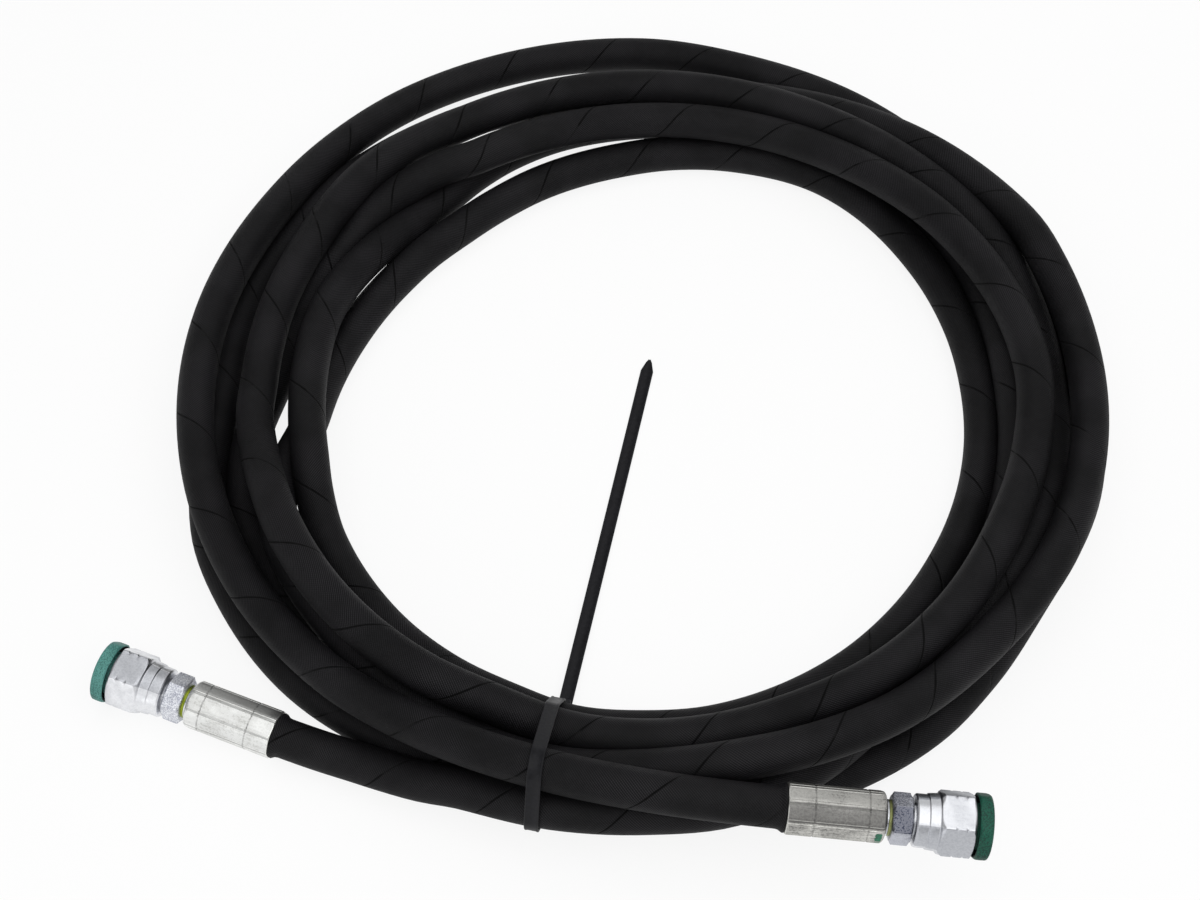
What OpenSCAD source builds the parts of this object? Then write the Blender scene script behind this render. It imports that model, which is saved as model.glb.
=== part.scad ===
// Hydraulic hose assembly: one long hose laid in a flat coil of about six turns, a crimped
// swivel-nut fitting with a dust plug at each end, and one cable tie around the bundle.
// Units are millimetres, +Z is up and the floor is z = 0.

/* [Hose] */
// Outside diameter of the hose
hose_od = 22.5; // [16:0.1:30]
// Bore of the hose
hose_bore = 12.7; // [8:0.1:16]
// Thickness of the rubber cover
cover_wall = 1.6; // [0.8:0.1:2.5]
// Thickness of each wire braid
braid_wall = 0.7; // [0.4:0.1:1]
// Thickness of the rubber between the two braids
interlayer_wall = 0.3; // [0.2:0.1:0.6]
// How far the free hose reaches into each ferrule
hose_entry = 2; // [1:0.5:5]
// Flat sides of the swept hose tube
hose_sides = 12; // [8:1:12]
// Angle between two rings of the swept hose tube
ring_step = 15; // [5:5:15]
// Coil centre, left to right
coil_x = 12.09; // [-60:0.01:60]
// Coil centre, front to back
coil_y = 7.6; // [-60:0.01:60]

/* [Ferrule] */
// Length of the crimped ferrule
ferrule_length = 51.4; // [40:0.5:70]
// Diameter over the crimp lands
ferrule_od = 27.3; // [25:0.1:40]
// Distance across two opposite crimp flats
ferrule_flats = 26.5; // [24.5:0.1:39]
// Thickness of the turned-in lip at the nut end
ferrule_lip = 4; // [3:0.1:6]
// Rounding at the nut end
ferrule_round = 2; // [0.5:0.1:3]

/* [Insert stem] */
// Bore of the insert
stem_bore = 9.5; // [6:0.1:11]
// Depth of the grooves between the barbs
barb_depth = 0.5; // [0.2:0.1:0.8]
// Diameter where the ferrule lip grips the insert
lip_seat = 16.5; // [14:0.1:19]
// Diameter of the bare neck beside the ferrule
neck_od = 19; // [16:0.1:22]
// Length of the bare neck beside the ferrule
neck_length = 3.1; // [2:0.1:8]
// Across flats of the insert hexagon
stem_hex = 24; // [19:0.5:32]
// Length of the insert hexagon
stem_hex_length = 11; // [6:0.1:16]
// Dark gap between the insert hexagon and the nut
nut_gap = 1.3; // [0.5:0.1:3]
// Diameter of the journal the nut turns on
journal_od = 18; // [15:0.1:21]
// Diameter of the shoulder that holds the nut
shoulder_od = 21; // [18:0.1:23]
// Length of the shoulder that holds the nut
shoulder_length = 5.5; // [3:0.1:8]
// Large diameter of the sealing cone
cone_od = 19; // [15:0.1:20]
// Length of the sealing cone
cone_length = 10; // [6:0.1:12]

/* [Swivel nut] */
// Across flats of the nut
nut_hex = 32; // [27:0.5:41]
// Length of the hexagon of the nut
nut_hex_length = 17.2; // [12:0.1:26]
// Length of the round collar and taper behind the hexagon
nut_collar_length = 13.4; // [10:0.1:20]
// Diameter of the round collar
nut_collar_od = 28; // [26:0.1:31]
// Bore of the nut at the tips of its thread
nut_bore = 24.4; // [21:0.1:26]
// Depth of the threaded bore
nut_bore_depth = 18; // [15:0.5:22]
// Thickness of the lip that holds the nut on the insert
nut_lip = 2.7; // [2:0.1:4]

/* [Dust plug] */
// Diameter of the plug flange
plug_od = 36; // [30:0.5:44]
// Thickness of the plug flange
plug_flange = 7.5; // [5:0.5:14]
// Length of the plug cup inside the nut
plug_depth = 12; // [8:0.5:14]
// Gap between the nut face and the plug flange
plug_gap = 1.4; // [0.5:0.1:4]
// Wall of the plug cup
plug_wall = 1.4; // [1:0.1:2]

/* [Sealing ring] */
// Thickness of the sealing ring
ring_section = 2; // [1.5:0.1:2.5]

/* [Cable tie] */
// Width of the strap
tie_width = 7.8; // [4.8:0.1:9]
// Thickness of the strap
tie_thick = 1.3; // [1:0.1:2]
// Angle around the coil where the tie sits
tie_angle = 258; // [255:0.5:265]
// Length of the head along the strap
tie_head_length = 9; // [7:0.5:12]
// Height of the head over the strap
tie_head_height = 4; // [3:0.5:6]

/* [Clearances] */
// Radial running fit of the nut on its journal
turn_fit = 0.08; // [0.02:0.01:0.1]
// Radial fit of the plug cup in the nut
plug_fit = 0.08; // [0.02:0.01:0.1]
// Gap between faces that must not touch
face_gap = 0.3; // [0.3:0.05:0.6]

/* [Hidden] */
$fn = 48;
// Coil route, one list per turn: [angle in degrees, radius, height of the hose centre].
turns = [
  [
    [210, 343.5, 20], [229, 304.5, 13.5], [236, 293, 13.5], [240, 289.5, 16.5], [245, 286.5, 20.5],
    [250, 284, 26], [260, 286, 33], [270, 285, 34], [280, 284, 35], [290, 272, 34.5],
    [300, 258, 31], [315, 251, 30.5], [330, 250.5, 32], [345, 252, 22.5], [352, 251.5, 17],
    [360, 250.5, 14.5], [370, 251.5, 17], [378, 252, 21], [384, 250, 28], [390, 246.5, 33.5],
    [405, 240.5, 37.5], [420, 238.5, 36.5], [450, 238, 34.5], [480, 234, 35], [487, 234.5, 37],
    [493, 234.5, 38.5], [499, 234.5, 38], [505, 233, 37], [512, 231, 35.5], [525, 229.5, 34.5],
    [540, 229, 34.5], [547, 231, 37], [555, 231, 42], [562, 232, 50]
  ],
  [
    [210, 235, 56], [225, 240, 57], [240, 243, 55], [250, 240, 45], [260, 240, 34],
    [270, 242, 35], [280, 243, 38], [290, 245, 46], [300, 246, 51], [315, 242, 51],
    [330, 236.5, 50.5], [345, 235, 48], [360, 234, 48], [390, 221, 47], [405, 217.5, 41],
    [420, 216, 35], [450, 208, 34.5], [480, 204.5, 34.5], [487, 209, 34], [493, 213.5, 30.5],
    [499, 218, 25], [505, 219.5, 19.5], [510, 220, 16.5], [525, 221.5, 12.5], [537, 224.5, 11.25],
    [547, 236, 11.25], [555, 243.5, 11.25], [562, 247.5, 11.25]
  ],
  [
    [210, 247, 11.25], [225, 245, 11.25], [240, 242, 12], [250, 244, 13.4], [260, 249, 13.6],
    [270, 250, 12.8], [280, 248.5, 11.5], [300, 243.5, 11.25], [315, 238.5, 11.25], [330, 234, 14.5],
    [345, 229.5, 22], [360, 226, 25.5], [370, 227, 24], [378, 229.5, 20.5], [384, 232, 16.5],
    [390, 233.5, 15.5], [405, 237, 12], [420, 239, 11.25], [435, 233.5, 11.25], [450, 227.5, 11.25],
    [463, 222.5, 11.25], [472, 217, 11.25], [480, 210.5, 11.25], [487, 204, 12], [493, 200.5, 13.5],
    [499, 198.5, 17], [505, 197.5, 22], [510, 197, 26.5], [525, 199, 33.5], [540, 199.5, 34.5],
    [555, 202.5, 33], [562, 206.5, 27]
  ],
  [
    [210, 211, 20], [225, 215, 12], [240, 219, 12], [250, 221.5, 13.4], [260, 226, 13.6],
    [270, 225.5, 12.8], [280, 225, 11.5], [300, 220.5, 11.25], [315, 216, 11.25], [330, 212, 11.25],
    [360, 208.5, 11.25], [375, 209.5, 11.25], [390, 212, 11.25], [415, 216.5, 11.25], [432, 208.5, 11.25],
    [443, 201.5, 11.25], [455, 193, 11.25], [472, 184, 11.25], [480, 180, 11.25], [490, 177, 11.25],
    [499, 177.5, 11.25], [510, 179.5, 11.25], [525, 186, 11.25], [540, 196.5, 11.25], [547, 203.5, 12.5],
    [555, 218.5, 18], [562, 229, 26]
  ],
  [
    [210, 236.5, 33], [225, 243, 34], [240, 252.5, 34.5], [245, 257, 34.5], [250, 260.5, 34.8],
    [260, 263.5, 37], [270, 264, 43], [280, 268, 54], [290, 271, 57.5], [300, 270, 52],
    [315, 267, 47], [330, 268.5, 47], [345, 268, 42], [360, 268, 39], [370, 268, 39],
    [378, 268.5, 39.5], [384, 269, 40], [390, 267.5, 38], [405, 262.5, 33], [420, 259, 24],
    [435, 257, 14], [450, 254, 11.25], [480, 255, 11.25], [495, 257, 11.25], [510, 256.5, 11.25],
    [525, 256.5, 11.25], [540, 254.5, 11.25], [547, 259, 11.25], [555, 266, 11.25], [562, 271, 11.25]
  ],
  [
    [210, 272.5, 11.25], [225, 273.5, 11.25], [240, 268.5, 12], [250, 266, 13.4], [260, 272, 13.6],
    [270, 273, 12.8], [280, 274, 11.5], [296, 274, 11.25], [306, 272.5, 11.25], [315, 268, 11.25],
    [328, 264, 11.25], [345, 271, 11.25], [360, 272, 11.25], [378, 273.5, 11.25], [390, 273, 11.25],
    [405, 275, 11.25], [420, 280, 12], [435, 284.5, 11.25], [450, 290, 11.25], [480, 287, 13],
    [495, 278, 20], [510, 268.5, 30], [532, 266.5, 34.5], [570, 267, 34.5]
  ],
  [
    [225, 267.5, 38], [232, 269, 43], [240, 270, 48.5], [250, 273, 56], [260, 276, 57],
    [270, 283, 58.5], [280, 293.5, 55.5], [290, 311, 52], [300, 333, 48.5]
  ]
];
start_angle = 228.5;
end_angle = 284 + 6 * 360;
rows = [for (k = [0 : len(turns) - 1]) for (p = turns[k]) [p[0] + 360 * k, p[1], p[2]]];

// Turn of the hexagon corners about each fitting's own axis, measured from straight up
left_hex_roll = 5;
left_nut_roll = 29;
right_hex_roll = -2;
right_nut_roll = 34;
left_crimp_roll = 6;
right_crimp_roll = 10;

// Where the free end of the tie touches the floor, from the coil centre
tie_tip = [7, 37.5];
// How far below level the head sits round the innermost strand
tie_drop = 30;
tie_taper = 9;

// ---- route of the hose ----
function row_at(a, i = 1) = (i >= len(rows) - 3 || rows[i + 1][0] > a) ? i : row_at(a, i + 1);
function ease(a, i, c) =
  let (h = rows[i + 1][0] - rows[i][0], t = (a - rows[i][0]) / h,
       m0 = (rows[i + 1][c] - rows[i - 1][c]) / (rows[i + 1][0] - rows[i - 1][0]) * h,
       m1 = (rows[i + 2][c] - rows[i][c]) / (rows[i + 2][0] - rows[i][0]) * h)
  (2 * t ^ 3 - 3 * t ^ 2 + 1) * rows[i][c] + (t ^ 3 - 2 * t ^ 2 + t) * m0
  + (3 * t ^ 2 - 2 * t ^ 3) * rows[i + 1][c] + (t ^ 3 - t ^ 2) * m1;
function rad_at(a) = ease(a, row_at(a), 1);
function high_at(a) = max(hose_od / 2, ease(a, row_at(a), 2));
function at(a) = [coil_x + rad_at(a) * cos(a), coil_y + rad_at(a) * sin(a), high_at(a)];
function unit(v) = v / norm(v);
function along(a) = unit(at(a + 0.5) - at(a - 0.5));

left_mouth = at(start_angle);
left_axis = -along(start_angle);
right_mouth = at(end_angle);
right_axis = along(end_angle);

// ---- one ring of the swept hose ----
function ring(p, t) =
  let (n = unit(cross(t, [0, 0, 1])), b = cross(n, t))
  [for (j = [0 : hose_sides - 1])
    p + hose_od / 2 * (cos(360 * j / hose_sides) * n + sin(360 * j / hose_sides) * b)];

module hose() {
  first = ring_step * ceil((start_angle + 4) / ring_step);
  last = ring_step * floor((end_angle - 4) / ring_step);
  // the ring nearest the tie sits exactly under the strap
  stops = concat([start_angle], [for (a = [first : ring_step : last])
    let (off = (a % 360) - tie_angle) abs(off) < ring_step / 2 ? a - off : a], [end_angle]);
  rings = concat(
    [ring(left_mouth + hose_entry * left_axis, -left_axis)],
    [for (a = stops) ring(at(a), along(a))],
    [ring(right_mouth + hose_entry * right_axis, right_axis)]);
  n = hose_sides;
  m = len(rings);
  points = [for (r = rings) for (p = r) p];
  sides = [for (i = [0 : m - 2]) for (j = [0 : n - 1])
    let (a = i * n + j, b = i * n + (j + 1) % n) each [[a, a + n, b], [b, a + n, b + n]]];
  lids = [[for (j = [0 : n - 1]) j], [for (j = [n - 1 : -1 : 0]) (m - 1) * n + j]];
  color([0.12, 0.12, 0.13]) polyhedron(points, concat(sides, lids), convexity = 10);
}

// ---- placing a fitting: local +Z runs out of the ferrule mouth, local +X looks up ----
module place(p, axis, roll = 0) {
  up = unit([0, 0, 1] - axis[2] * axis);
  side = cross(axis, up);
  multmatrix([[up[0], side[0], axis[0], p[0]],
              [up[1], side[1], axis[1], p[1]],
              [up[2], side[2], axis[2], p[2]],
              [0, 0, 0, 1]])
    rotate([0, 0, roll]) children();
}

// ---- sizes along a fitting, from the ferrule mouth ----
hex_start = ferrule_length + neck_length;
hex_end = hex_start + stem_hex_length;
nut_start = hex_end + nut_gap;
shoulder_start = nut_start + nut_lip + face_gap;
shoulder_end = shoulder_start + shoulder_length;
nut_end = nut_start + nut_collar_length + nut_hex_length;
thread_start = nut_end - nut_bore_depth;
cone_start = thread_start + 1;
cone_end = cone_start + cone_length;
cone_tip = cone_od - 2 * cone_length * tan(12);
tail_start = hose_entry + 2;
cover_inner = hose_od - 2 * cover_wall;
outer_braid_inner = cover_inner - 2 * braid_wall;
interlayer_inner = outer_braid_inner - 2 * interlayer_wall;
inner_braid_inner = interlayer_inner - 2 * braid_wall;
layers_end = ferrule_length - ferrule_lip;

module tube(outer, inner, from, to) {
  translate([0, 0, from]) difference() {
    cylinder(d = outer, h = to - from);
    translate([0, 0, -1]) cylinder(d = inner, h = to - from + 2);
  }
}

module ferrule() {
  r = ferrule_od / 2;
  color([0.78, 0.78, 0.77]) difference() {
    intersection() {
      rotate_extrude() polygon(concat(
        [[0, 0], [r - 0.5, 0], [r, 0.5]],
        [for (q = [0 : 15 : 90])
          [r - ferrule_round + ferrule_round * cos(q), ferrule_length - ferrule_round
            + ferrule_round * sin(q)]],
        [[0, ferrule_length]]));
      cylinder(d = ferrule_flats / cos(22.5), h = ferrule_length, $fn = 8);
    }
    translate([0, 0, -1]) cylinder(d = hose_od, h = layers_end + 1);
    cylinder(d = lip_seat, h = ferrule_length + 1);
  }
}

module insert_stem() {
  color([0.72, 0.73, 0.70]) difference() {
    union() {
      rotate_extrude() polygon(concat(
        [[0, tail_start], [hose_bore / 2 - 1, tail_start], [hose_bore / 2, tail_start + 1.5]],
        [for (i = [0 : 4]) let (z = tail_start + 4 + 7 * i) each [
          [hose_bore / 2, z], [hose_bore / 2 - barb_depth, z],
          [hose_bore / 2 - barb_depth, z + 1.5], [hose_bore / 2, z + 4]]],
        [[hose_bore / 2, layers_end], [lip_seat / 2, layers_end],
         [lip_seat / 2, ferrule_length], [neck_od / 2, ferrule_length],
         [neck_od / 2, hex_start], [journal_od / 2, hex_start],
         [journal_od / 2, shoulder_start], [shoulder_od / 2, shoulder_start],
         [shoulder_od / 2, shoulder_end], [journal_od / 2, shoulder_end],
         [journal_od / 2, cone_start - 1], [cone_od / 2, cone_start - 1],
         [cone_od / 2, cone_start], [cone_tip / 2, cone_end], [0, cone_end]]));
      intersection() {
        translate([0, 0, hex_start])
          cylinder(d = stem_hex / cos(30), h = stem_hex_length, $fn = 6);
        hex_trim(stem_hex, hex_start, hex_end);
      }
    }
    translate([0, 0, tail_start - 1]) cylinder(d = stem_bore, h = cone_end);
    translate([0, 0, ring_start]) difference() {
      cylinder(d = cone_od + 2, h = ring_width);
      translate([0, 0, -1]) cylinder(d = ring_floor, h = ring_width + 2);
    }
  }
}

// Groove for the sealing ring
ring_start = cone_start + 2;
ring_width = ring_section + 0.4;
ring_floor = cone_od - 2 * (2 * tan(12)) - 2 * ring_section + 0.8;

// Rounds off the corners of a hexagon with a 30 degree chamfer at each end
module hex_trim(flats, from, to, notch = []) {
  corner = flats / cos(30) / 2 + 0.01;
  small = flats / 2 - 0.35;
  rise = (corner - small) * tan(30);
  wide = 1 / cos(15);
  rotate([0, 0, 15]) rotate_extrude($fn = 12) polygon([for (p = concat(
    [[0, from], [small, from], [corner, from + rise]],
    [for (q = notch) each [
      [corner, q - 0.5], [corner - 0.6, q - 0.5], [corner - 0.6, q + 0.5], [corner, q + 0.5]]],
    [[corner, to - rise], [small, to], [0, to]])) [p[0] * wide, p[1]]]);
}

module nose_o_ring() {
  color([0.08, 0.08, 0.08]) translate([0, 0, ring_start + ring_width / 2])
    rotate_extrude() translate([ring_floor / 2 + ring_section / 2, 0])
      circle(d = ring_section, $fn = 20);
}

module swivel_nut() {
  body_start = nut_start + nut_collar_length;
  color([0.80, 0.80, 0.80]) difference() {
    union() {
      rotate_extrude() polygon([
        [0, nut_start], [nut_collar_od / 2 - 0.8, nut_start],
        [nut_collar_od / 2, nut_start + 0.8], [nut_collar_od / 2, nut_start + 6.2],
        [nut_collar_od / 2 + 0.7, nut_start + 6.8], [nut_hex / 2 - 0.4, body_start - 2.6],
        [nut_hex / 2 - 0.4, body_start + 1], [0, body_start + 1]]);
      intersection() {
        translate([0, 0, body_start - 1.5])
          cylinder(d = nut_hex / cos(30), h = nut_hex_length + 1.5, $fn = 6);
        hex_trim(nut_hex, body_start - 1.5, nut_end, [nut_end - 10.6, nut_end - 5.2]);
      }
    }
    translate([0, 0, nut_start - 1]) cylinder(d = journal_od + 2 * turn_fit, h = nut_lip + 2);
    translate([0, 0, nut_start + nut_lip])
      cylinder(d = shoulder_od + 2 * face_gap, h = nut_end);
    translate([0, 0, thread_start]) cylinder(d = nut_bore, h = nut_bore_depth + 1);
    translate([0, 0, nut_end - 1]) cylinder(d1 = nut_bore, d2 = nut_bore + 2, h = 1.01);
  }
}

module dust_plug() {
  cup = nut_bore - 2 * plug_fit;
  back = nut_end + plug_gap;
  r = plug_od / 2;
  color([0.24, 0.44, 0.40]) difference() {
    union() {
      translate([0, 0, nut_end - plug_depth]) cylinder(d = cup, h = plug_depth + plug_gap + 1);
      intersection() {
        rotate_extrude() polygon(concat(
          [[0, back], [r - 0.8, back], [r, back + 0.8]],
          [for (q = [0 : 22.5 : 90])
            [r - 2 + 2 * cos(q), back + plug_flange - 2 + 2 * sin(q)]],
          [[0, back + plug_flange]]));
        translate([0, 0, back])
          cylinder(d = (plug_od - 1.2) / cos(30), h = plug_flange, $fn = 6);
      }
    }
    translate([0, 0, nut_end - plug_depth - 1])
      cylinder(d = cup - 2 * plug_wall, h = plug_depth + plug_gap + 3);
    translate([0, 0, back + plug_flange - 1]) cylinder(d = plug_od - 12, h = 2);
  }
}

// ---- the cable tie, drawn in the upright plane that cuts the bundle ----
module bundle(extra) {
  hull() for (k = [0 : len(turns) - 1])
    translate([rad_at(tie_angle + 360 * k), high_at(tie_angle + 360 * k)])
      circle(d = hose_od + 2 * extra, $fn = 48);
}

module cable_tie() {
  u = [cos(tie_angle), sin(tie_angle), 0];
  t = [-sin(tie_angle), cos(tie_angle), 0];
  slack = 0.75;
  // the head sits low inside the coil, against the innermost strand
  low = [rad_at(tie_angle + 1080), high_at(tie_angle + 1080)];
  out = [-cos(tie_drop), -sin(tie_drop)];
  run = [sin(tie_drop), -cos(tie_drop)];
  seat = low + (hose_od / 2 + slack + tie_thick) * out;
  exit2 = seat + out * (tie_head_height - 1);
  exit = [coil_x, coil_y, 0] + exit2[0] * u + [0, 0, exit2[1]];
  tip = [coil_x + tie_tip[0], coil_y + tie_tip[1], tie_thick / 2 + 0.3];
  way = unit(tip - exit);
  flat = unit(cross([0, 0, 1], way));
  face = cross(way, flat);
  color([0.10, 0.10, 0.10]) {
    multmatrix([[u[0], 0, -t[0], coil_x], [u[1], 0, -t[1], coil_y], [0, 1, 0, 0], [0, 0, 0, 1]]) {
      translate([0, 0, -tie_width / 2]) linear_extrude(tie_width) difference() {
        bundle(slack + tie_thick);
        bundle(slack);
      }
      multmatrix([[run[0], out[0], 0, seat[0]], [run[1], out[1], 0, seat[1]],
                  [0, 0, 1, 0], [0, 0, 0, 1]])
        translate([-tie_head_length / 2, -0.8, -tie_width / 2 - 0.8])
          cube([tie_head_length, tie_head_height + 0.8, tie_width + 1.6]);
    }
    multmatrix([[way[0], flat[0], face[0], exit[0]], [way[1], flat[1], face[1], exit[1]],
                [way[2], flat[2], face[2], exit[2]], [0, 0, 0, 1]])
      translate([-2, 0, -tie_thick / 2]) linear_extrude(tie_thick) polygon([
        [0, -tie_width / 2], [norm(tip - exit) - tie_taper, -tie_width / 2],
        [norm(tip - exit), -1.2], [norm(tip - exit), 1.2],
        [norm(tip - exit) - tie_taper, tie_width / 2], [0, tie_width / 2]]);
  }
}

module left(roll = 0) place(left_mouth, left_axis, roll) children();
module right(roll = 0) place(right_mouth, right_axis, roll) children();
module layer(outer, inner, shade) color(shade) tube(outer, inner, hose_entry, layers_end);
module hose_cover() layer(hose_od, cover_inner, [0.12, 0.12, 0.13]);
module outer_braid() layer(cover_inner, outer_braid_inner, [0.55, 0.53, 0.48]);
module interlayer() layer(outer_braid_inner, interlayer_inner, [0.10, 0.10, 0.10]);
module inner_braid() layer(interlayer_inner, inner_braid_inner, [0.55, 0.53, 0.48]);
module inner_tube() layer(inner_braid_inner, hose_bore, [0.07, 0.07, 0.07]);

module left_ferrule() left(left_crimp_roll) ferrule();
module left_insert_stem() left(left_hex_roll) insert_stem();
module left_swivel_nut() left(left_nut_roll) swivel_nut();
module left_nose_o_ring() left() nose_o_ring();
module left_dust_plug() left(left_nut_roll) dust_plug();
module left_hose_cover() left() hose_cover();
module left_outer_braid() left() outer_braid();
module left_interlayer() left() interlayer();
module left_inner_braid() left() inner_braid();
module left_inner_tube() left() inner_tube();
module right_ferrule() right(right_crimp_roll) ferrule();
module right_insert_stem() right(right_hex_roll) insert_stem();
module right_swivel_nut() right(right_nut_roll) swivel_nut();
module right_nose_o_ring() right() nose_o_ring();
module right_dust_plug() right(right_nut_roll) dust_plug();
module right_hose_cover() right() hose_cover();
module right_outer_braid() right() outer_braid();
module right_interlayer() right() interlayer();
module right_inner_braid() right() inner_braid();
module right_inner_tube() right() inner_tube();

hose();
cable_tie();
left_ferrule();
left_insert_stem();
left_swivel_nut();
left_nose_o_ring();
left_dust_plug();
left_hose_cover();
left_outer_braid();
left_interlayer();
left_inner_braid();
left_inner_tube();
right_ferrule();
right_insert_stem();
right_swivel_nut();
right_nose_o_ring();
right_dust_plug();
right_hose_cover();
right_outer_braid();
right_interlayer();
right_inner_braid();
right_inner_tube();
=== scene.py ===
# Dressed scene for the hydraulic hose assembly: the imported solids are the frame, and the hose,
# the two fittings, the dust plugs and the cable tie are drawn over them in detail. Lengths are in
# millimetres until MM turns them into metres.
import math

import bmesh
import bpy
from mathutils import Matrix, Vector


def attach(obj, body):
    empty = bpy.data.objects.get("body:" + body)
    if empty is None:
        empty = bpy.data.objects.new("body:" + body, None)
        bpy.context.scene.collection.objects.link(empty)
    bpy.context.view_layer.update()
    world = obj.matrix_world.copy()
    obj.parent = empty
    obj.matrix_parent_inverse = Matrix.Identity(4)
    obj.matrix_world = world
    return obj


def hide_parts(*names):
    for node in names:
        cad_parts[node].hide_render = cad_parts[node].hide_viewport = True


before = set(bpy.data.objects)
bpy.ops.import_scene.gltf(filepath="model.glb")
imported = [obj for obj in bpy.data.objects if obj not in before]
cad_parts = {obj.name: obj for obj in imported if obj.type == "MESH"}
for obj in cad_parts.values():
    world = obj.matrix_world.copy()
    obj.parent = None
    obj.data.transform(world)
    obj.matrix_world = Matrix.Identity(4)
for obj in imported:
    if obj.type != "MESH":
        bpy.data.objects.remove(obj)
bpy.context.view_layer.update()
MM = 0.001
TAU = 2 * math.pi


def put_in_scene(name, data):
    obj = bpy.data.objects.new(name, data)
    bpy.context.scene.collection.objects.link(obj)
    return obj


# ---------------------------------------------------------------- camera
CAMERA_PLACE = (-0.0120, -0.7603, 1.0943)  # metres
CAMERA_TILT = 34.0  # degrees up from straight down

cam_data = bpy.data.cameras.new("camera")
cam_data.sensor_width = 36
cam_data.lens = 65.1
cam_data.clip_start = 0.01
cam_data.clip_end = 50
camera = put_in_scene("camera", cam_data)
camera.location = CAMERA_PLACE
camera.rotation_euler = (math.radians(CAMERA_TILT), 0, 0)
bpy.context.scene.camera = camera

# ---------------------------------------------------------------- route, as in the part's source
HOSE_OD = 22.5
COIL = (12.09, 7.6)  # centre of the coil, which every radius below is measured from
START, END = 228.5, 284.0 + 6 * 360  # degrees round the coil
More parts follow.
